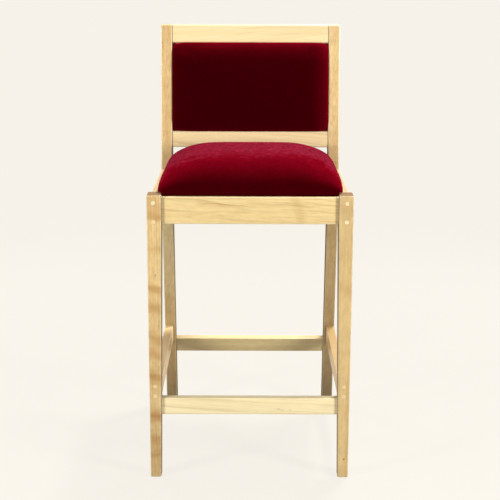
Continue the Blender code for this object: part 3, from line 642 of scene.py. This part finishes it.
# rounded plan: each ray is cut where across and along, each to a power, add up to one
def ovalPlan(edgeAcross, edgeAlong, power, halfSpan):
    reach = (np.abs(edgeAcross) ** power + np.abs(edgeAlong) ** power) ** (-1 / power)
    return np.stack([edgeAcross * reach * halfSpan[0], edgeAlong * reach * halfSpan[1]], axis=-1)


# profile from crown to rim: a fuller quarter oval, a short upright skirt and a turned-under edge,
# read off at even steps of its length
def padProfile(look, halfSpan):
    domeSteps, rollSteps = 240, 24
    climb = np.linspace(math.pi / 2, 0, domeSteps)
    bend = 2 / look["fullness"]
    share = np.cos(climb).clip(0) ** bend
    lift = look["skirt"] + (look["crown"] - look["skirt"]) * np.sin(climb) ** bend
    roll = np.linspace(0, math.pi / 2, rollSteps)
    share = np.concatenate([share, 1 - look["rollIn"] / halfSpan * (1 - np.cos(roll))])
    lift = np.concatenate([lift, look["rollHigh"] * (1 - np.sin(roll))])
    length = runLength(np.diff(share) * halfSpan, np.diff(lift))
    return length / length[-1], share, lift


# crowned pad: every ring is the rim's plan drawn in and lifted by the profile, its plan turning
# from the rim's own outline to a rounder one on the way up; below lies the pocket for its board
def crownedPad(paths, pocketPaths, middle, halfSpan, look):
    edgeAcross, edgeAlong, ring = squareRings(look["rings"])
    ring = 1 - (1 - ring) ** look["closer"]  # rings lie closer together towards the rim
    steps, shares, lifts = padProfile(look, halfSpan[0])
    share = np.interp(ring, steps, shares)
    lift = np.interp(ring, steps, lifts)
    backward = (edgeAlong + 1) / 2
    frontToRear = [0.3, 0.7]  # between them the front's heights turn into the rear's
    turnFrom = np.interp(backward, frontToRear, look["turnFrom"])
    turnBy = np.interp(backward, frontToRear, look["turnBy"])
    climbed = ((lift - look["squareTo"]) / (look["crown"] - look["squareTo"])).clip(0, 1)
    squareness = look["frontPower"] + (look["rearPower"] - look["frontPower"]) * backward
    squareLeft = (1 - climbed) ** look["squareFade"]
    power = look["crownPower"] + (squareness - look["crownPower"]) * squareLeft
    turned = softStep(lift, turnFrom, turnBy)
    rim = rimPlan(edgeAcross, edgeAlong, paths) - np.array(middle)
    ray = rim / np.array(halfSpan)  # the rounder plan lies on the same rays as the rim
    ray = ray / np.abs(ray).max(axis=-1, keepdims=True)
    oval = ovalPlan(ray[..., 0], ray[..., 1], power, halfSpan)
    plan = rim + (oval - rim) * turned[..., None]
    plan = plan * share[..., None]
    if "bulge" in look:  # the stuffing leans out over the frame in front of it
        bulge = look["bulge"]
        out = softStep(lift, bulge["from"], bulge["to"]) * ring
        plan[..., 0] += edgeAcross * out * bulge["side"] * (1 - bulge["ends"] * edgeAlong ** 4)
        plan[..., 1] += edgeAlong * out * np.where(edgeAlong > 0, bulge["head"], bulge["foot"])
    top = np.concatenate([plan + np.array(middle), lift[..., None]], axis=-1)
    # underside: a narrow lip, the wall of the pocket, and its flat ceiling
    under = look["pocket"]
    pocket = rimPlan(edgeAcross, edgeAlong, pocketPaths) - np.array(middle)
    ceiling = (ring / under["wallIn"]).clip(0, 1)[..., None]
    lip = ((ring - under["lipIn"]) / (1 - under["lipIn"])).clip(0, 1)[..., None]
    flat = pocket * ceiling + (rim * shares[-1] - pocket) * lip
    steps = [0, under["wallIn"], under["wallMid"], under["lipIn"], 1]
    raised = np.interp(ring, steps, [under["deep"], under["deep"], under["midHigh"], 0, 0])
    bottom = np.concatenate([flat + np.array(middle), raised[..., None]], axis=-1)
    return top, bottom, lift


# one closed mesh from the two grids, which share their rim
def padPiece(name, top, bottom, place, finish):
    weld = 1e-6  # points closer than this are one, m
    count = top.shape[0]
    index = np.arange(count * count).reshape(count, count)
    quads = np.stack([index[:-1, :-1], index[1:, :-1], index[1:, 1:], index[:-1, 1:]], axis=-1)
    quads = quads.reshape(-1, 4)
    points = np.concatenate([top.reshape(-1, 3), bottom.reshape(-1, 3)])
    points = points @ np.array(place.to_3x3()).T + np.array(place.translation)
    faces = np.concatenate([quads, quads[:, ::-1] + count * count])
    mesh = bpy.data.meshes.new(name)
    mesh.from_pydata(points.tolist(), [], faces.tolist())
    below = mesh.attributes.new("below", "FLOAT", "POINT")  # marks the underside
    below.data.foreach_set("value", np.repeat([0.0, 1.0], count * count))
    shell = bmesh.new()
    shell.from_mesh(mesh)
    bmesh.ops.remove_doubles(shell, verts=shell.verts, dist=weld)
    bmesh.ops.recalc_face_normals(shell, faces=shell.faces)
    if shell.calc_volume(signed=True) < 0:  # faces point outwards
        bmesh.ops.reverse_faces(shell, faces=shell.faces)
    shell.to_mesh(mesh)
    shell.free()
    mesh.materials.append(finish)
    mesh.shade_smooth()
    piece = bpy.data.objects.new(name, mesh)
    scene.collection.objects.link(piece)
    return piece


def pointsOf(piece):
    points = np.empty(len(piece.data.vertices) * 3)
    piece.data.vertices.foreach_get("co", points)
    return points.reshape(-1, 3)


def setPoints(piece, points):
    piece.data.vertices.foreach_set("co", points.ravel())
    piece.data.update()


# stuffing: air pressure from inside with the held points fixed, and no point may pass the cap
stuffing = {"pressure": 4.0, "stiffness": 15.0, "frames": 20}


def inflate(piece, lift, look):
    mesh = piece.data
    before = pointsOf(piece)
    below = np.empty(len(before))
    mesh.attributes["below"].data.foreach_get("value", below)
    heldPoints = np.flatnonzero((lift < look["heldBelow"]) | (below > 0.5))
    group = piece.vertex_groups.new(name="held")
    group.add(heldPoints.tolist(), 1.0, "REPLACE")
    cloth = piece.modifiers.new("stuffing", "CLOTH")
    cloth.settings.vertex_group_mass = "held"
    cloth.settings.use_pressure = True
    cloth.settings.uniform_pressure_force = stuffing["pressure"]
    cloth.settings.effector_weights.gravity = 0
    cloth.settings.tension_stiffness = stuffing["stiffness"]
    cloth.settings.compression_stiffness = stuffing["stiffness"]
    for number in range(1, stuffing["frames"] + 1):
        scene.frame_set(number)
    after = pointsOf(piece.evaluated_get(bpy.context.evaluated_depsgraph_get()))
    scene.frame_set(1)
    move = after - before
    far = np.linalg.norm(move, axis=1)
    move *= np.minimum(1, look["cap"] / np.maximum(far, 1e-9))[:, None]
    ends = np.empty(len(mesh.edges) * 2, dtype=int)
    mesh.edges.foreach_get("vertices", ends)
    ends = np.concatenate([ends.reshape(-1, 2), ends.reshape(-1, 2)[:, ::-1]])
    links = np.bincount(ends[:, 0], minlength=len(move))
    for _ in range(look["evening"]):  # each point moves half as it did and half as its neighbours
        near = np.zeros_like(move)
        np.add.at(near, ends[:, 0], move[ends[:, 1]])
        move = (move + near / links[:, None]) / 2
        move[heldPoints] = 0
    setPoints(piece, before + move)
    piece.modifiers.remove(cloth)
    piece.vertex_groups.remove(group)
    print("%s swelled %.1f mm at most" % (piece.name, far.max() * 1000))


def soften(piece):
    piece.data.attributes.remove(piece.data.attributes["below"])
    rounding = piece.modifiers.new("rounding", "SUBSURF")
    rounding.levels = 1
    rounding.render_levels = 1


# Seat cushion: notched round the leg tops and the back posts, a full dome above them;
# lengths in m
seatPad = {
    "rings": 97, "closer": 1.5,
    "crown": 0.0822, "skirt": 0.0088, "fullness": 2.95,
    "rollIn": 0.0026, "rollHigh": 0.005,  # edge turned under
    "frontPower": 22.0, "rearPower": 5.2, "crownPower": 5.4,  # squareness of the plan
    "squareTo": 0.0145, "squareFade": 5.2,  # height where it begins to go, and how fast
    "turnFrom": (0.0058, 0.0130), "turnBy": (0.0090, 0.021),  # notches close, front and rear
    "legWide": 0.033, "legDeep": 0.045, "postAt": 0.395,  # leg tops, and posts from the front
    "legGap": 0.0012, "sideIn": 0.0002,
    "aside": 0.0010, "asideAt": 0.4,  # the dome leans right, in full from this share of the crown
    "pocket": {"wallIn": 0.9558, "wallMid": 0.9664, "lipIn": 0.9759, "inset": 0.0017,
               "deep": 0.0139, "midHigh": 0.0100},  # room for the deck
    "heldBelow": 0.009, "cap": 0.0030, "evening": 24,  # held skirt, most swelling, evening rounds
    # painted shade along the bottom edge up to this height, m
    "gapShadeHigh": 0.0065, "seed": 101.0,
}


def makeSeat():
    low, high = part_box("seat_cushion")
    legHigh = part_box("front_leg_right")[1]
    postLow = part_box("rear_leg_right")[0]

    def outline(inset):  # plan of the rim, notched round legs and posts, drawn in by the inset
        gap = seatPad["legGap"] + inset
        side, front, rear = high.x - seatPad["sideIn"] - inset, low.y + inset, high.y - inset
        legSide = legHigh.x - seatPad["legWide"] - gap
        legBack = frontFace + seatPad["legDeep"] + gap
        postSide, postFront = postLow.x - gap, frontFace + seatPad["postAt"] - gap
        return {
            "front": [(-legSide, legBack), (-legSide, front),
                      (legSide, front), (legSide, legBack)],
            "right": [(legSide, legBack), (side, legBack),
                      (side, postFront), (postSide, postFront)],
            "rear": [(-postSide, postFront), (-postSide, rear),
                     (postSide, rear), (postSide, postFront)],
            "left": [(-legSide, legBack), (-side, legBack),
                     (-side, postFront), (-postSide, postFront)],
        }

    middle = (0, (low.y + high.y) / 2)
    halfSpan = (high.x - seatPad["sideIn"], (high.y - low.y) / 2)
    pocketPaths = outline(seatPad["pocket"]["inset"])
    top, bottom, lift = crownedPad(outline(0), pocketPaths, middle, halfSpan, seatPad)
    fullAt = seatPad["asideAt"]
    top[..., 0] += seatPad["aside"] * (lift / seatPad["crown"]).clip(0, fullAt) / fullAt
    place = Matrix.Translation((0, 0, low.z))
    gapShadeBelow = low.z + seatPad["gapShadeHigh"]
    finish = velvetFinish("seat_velvet_pile", seatPad["seed"], gapShadeBelow=gapShadeBelow)
    piece = padPiece("seat_velvet", top, bottom, place, finish)
    return piece, pointsOf(piece)[:, 2] - low.z


seatPiece, seatHeight = makeSeat()
print("seat: %d points" % len(seatHeight))
inflate(seatPiece, seatHeight, seatPad)
soften(seatPiece)
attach(seatPiece, "root")
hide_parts("seat_cushion")

# Back panel: the same kind of pad on both faces of the board, in the plane of the raked back;
# first what the two pads share
backPad = {
    "rake": math.radians(9.0), "pivot": (0, frontFace + 0.395, 0.690),
    "middle": 0.19538, "halfWide": 0.1991, "halfTall": 0.1126,  # up the rake from the pivot
    "rings": 69, "closer": 1.0, "rollIn": 0.0004,
    "frontPower": 30.0, "rearPower": 30.0, "crownPower": 5.0, "squareTo": 0.0, "squareFade": 1.6,
    "turnFrom": (0.0, 0.0), "turnBy": (0.006, 0.006),
    "pocket": {"wallIn": 0.94, "wallMid": 0.95, "lipIn": 0.97, "inset": 0.0030,
               "deep": 0.0, "midHigh": 0.0},  # flat on the board
    "evening": 16, "tone": 0.84,
}
# then each pad: its node, the side it faces, the room below and above its middle, where it seats
# on the board, forward of the pivot, and its rims of painted light: axis, where they begin, reach,
# amount
backPads = {
    "back_velvet": dict(
        backPad, node="back_pad", facing=1, room=(0.1138, 0.1129), seat=-0.0097, seed=131.0,
        brushedUp=((2, 0.942, 0.050, 0.32), (0, 0.146, 0.055, 0.40)),
        crown=0.0245, skirt=0.0110, fullness=2.2, rollHigh=0.0020, heldBelow=0.009, cap=0.0022,
        bulge={"from": 0.0076, "to": 0.0110, "side": 0.0026, "ends": 0.55,
               "head": 0.0003, "foot": 0.0012}),
    "back_outer_velvet": dict(
        backPad, node="back_outer_pad", facing=-1, room=(0.1126, 0.1126), seat=-0.0193, seed=151.0,
        brushedUp=((2, 0.942, 0.050, 0.40),),
        crown=0.0125, skirt=0.0045, fullness=3.0, rollHigh=0.0015, heldBelow=0.005, cap=0.0018),
}


def makeBackPad(name, look):
    halfSpan = (look["halfWide"], look["halfTall"])

    def outline(inset):  # plan of the rim, drawn in by the inset
        wide, tall = halfSpan[0] - inset, halfSpan[1] - inset
        return {
            "front": [(-wide, -tall), (wide, -tall)], "right": [(wide, -tall), (wide, tall)],
            "rear": [(-wide, tall), (wide, tall)], "left": [(-wide, -tall), (-wide, tall)],
        }

    pocketPaths = outline(look["pocket"]["inset"])
    top, bottom = crownedPad(outline(0), pocketPaths, (0, 0), halfSpan, look)[:2]
    lean, facing = look["rake"], look["facing"]
    up = Vector((0, math.sin(lean), math.cos(lean)))
    ahead = Vector((0, -math.cos(lean), math.sin(lean)))
    centre = Vector(look["pivot"]) + up * look["middle"] + ahead * look["seat"]
    place = Matrix((Vector((1, 0, 0)), up, ahead * facing)).transposed().to_4x4()
    place.translation = centre
    finish = velvetFinish(name + "_pile", look["seed"], look["tone"], look["brushedUp"])
    piece = padPiece(name, top, bottom, place, finish)
    height = (pointsOf(piece) - np.array(centre)) @ np.array(ahead * facing)
    inflate(piece, height, look)
    # pressed flat where it meets the posts and the rails: no point passes the room between them
    turned = np.array(place.to_3x3())
    flat = (pointsOf(piece) - np.array(centre)) @ turned
    flat[:, 0] = flat[:, 0].clip(-halfSpan[0], halfSpan[0])
    flat[:, 1] = flat[:, 1].clip(-look["room"][0], look["room"][1])
    setPoints(piece, flat @ turned.T + np.array(centre))
    soften(piece)
    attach(piece, "root")
    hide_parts(look["node"])


for name, look in backPads.items():
    makeBackPad(name, look)
print("back: %d pads" % len(backPads))

# Studio: pale floor that runs on into a pale surround, a top box, and two boxes each
# in front and behind, far out to the sides
studio = {
    "pale": colour(0.921, 0.888, 0.815),
    "paper": colour(0.30, 0.285, 0.26),  # what the floor gives back to the stool
    "floorReach": 90.0,    # half width of the floor, m
    "glow": 1.29,          # floor brightness near the stool, under the shadow
    "glowReach": (0.6, 3.0),  # distance over which it ends, m
    "shadowShare": 0.30,   # share of the floor near the stool that takes light and shadow
    "surround": 0.10,      # soft light from all round
    "boxes": {             # place, aim, width and height in m, watts
        "topBox": ((0.50, 0.42, 3.0), (0, 0.05, 0.5), 0.3, 0.24, 53),
        "leftBox": ((-1.90, -1.5, 1.15), (0, 0, 0.6), 0.5, 0.8, 45.5),
        "rearLeftBox": ((-1.7, 1.9, 1.3), (0, 0, 0.6), 0.6, 0.8, 20),
        "rearRightBox": ((1.7, 1.9, 1.3), (0, 0, 0.6), 0.6, 0.8, 20),
        "rightBox": ((1.90, -1.5, 1.15), (0, 0, 0.6), 0.5, 0.8, 52.5),
    },
}


def seenDirectly(start):  # 1 for rays from the camera, and for what gloss and glass show
    path = start.node("LightPath")
    glossy, through = path.other("Is Glossy Ray"), path.other("Is Transmission Ray")
    return path.other("Is Camera Ray").larger(glossy).larger(through)


def makeFloor():
    mesh = bpy.data.meshes.new("floor")
    reach = studio["floorReach"]
    corners = [(-reach, -reach, 0), (reach, -reach, 0), (reach, reach, 0), (-reach, reach, 0)]
    mesh.from_pydata(corners, [], [(0, 1, 2, 3)])
    floor = bpy.data.objects.new("floor", mesh)
    scene.collection.objects.link(floor)
    finish = bpy.data.materials.new("floor_paper")
    finish.use_nodes = True
    tree = finish.node_tree
    tree.nodes.clear()
    start = Wire(tree)
    x, y = start.node("TexCoord", output="Object").xyz()[:2]
    distance = (x * x + y * y) ** 0.5
    near = 1 - distance.step(*studio["glowReach"])
    lit = start.node("BsdfDiffuse", inputs={"Color": studio["paper"]})
    glowing = colour(*(part * studio["glow"] for part in studio["pale"][:3]))
    flat = start.node("Emission", inputs={"Color": start.blend(near, studio["pale"], glowing)})
    share = seenDirectly(start) * (1 - near * studio["shadowShare"])
    both = start.node("MixShader", inputs={0: share, 1: lit, 2: flat})
    start.node("OutputMaterial", inputs={"Surface": both})
    mesh.materials.append(finish)


def makeSurround():
    world = bpy.data.worlds.new("surround")
    scene.world = world
    world.use_nodes = True
    tree = world.node_tree
    tree.nodes.clear()
    start = Wire(tree)
    pale = studio["pale"]
    soft = start.node("Background", inputs={"Color": pale, "Strength": studio["surround"]})
    seen = start.node("Background", inputs={"Color": pale, "Strength": 1.0})
    both = start.node("MixShader", inputs={0: seenDirectly(start), 1: soft, 2: seen})
    start.node("OutputWorld", inputs={"Surface": both})


def makeBox(name, place, aim, wide, tall, watts):
    lamp = bpy.data.lights.new(name, "AREA")
    lamp.shape = "RECTANGLE"
    lamp.size, lamp.size_y = wide, tall
    lamp.energy = watts
    box = bpy.data.objects.new(name, lamp)
    scene.collection.objects.link(box)
    box.location = place
    box.rotation_euler = (Vector(aim) - box.location).to_track_quat("-Z", "Y").to_euler()


makeFloor()
makeSurround()
for name, look in studio["boxes"].items():
    makeBox(name, *look)
print("studio: floor, surround and %d boxes" % len(studio["boxes"]))

# Camera: straight in front, above the back, looking slightly down
view = {
    "place": (-0.0019, frontFace - 2.654, 1.172), "lens": 86.4, "sensor": 36.0,
    "pitch": math.radians(13.10), "turn": math.radians(-0.04), "roll": math.radians(0.16),
}


def makeCamera():
    pitch, turn, roll = view["pitch"], view["turn"], view["roll"]
    ahead = Vector((-math.sin(turn) * math.cos(pitch), math.cos(turn) * math.cos(pitch),
                    -math.sin(pitch)))
    level = Vector((math.cos(turn), math.sin(turn), 0))
    upright = level.cross(ahead)
    right = level * math.cos(roll) + upright * math.sin(roll)
    up = upright * math.cos(roll) - level * math.sin(roll)
    lens = bpy.data.cameras.new("view")
    lens.lens, lens.sensor_width = view["lens"], view["sensor"]
    camera = bpy.data.objects.new("view", lens)
    scene.collection.objects.link(camera)
    camera.matrix_world = Matrix((right, up, -ahead)).transposed().to_4x4()
    camera.location = view["place"]
    scene.camera = camera


makeCamera()
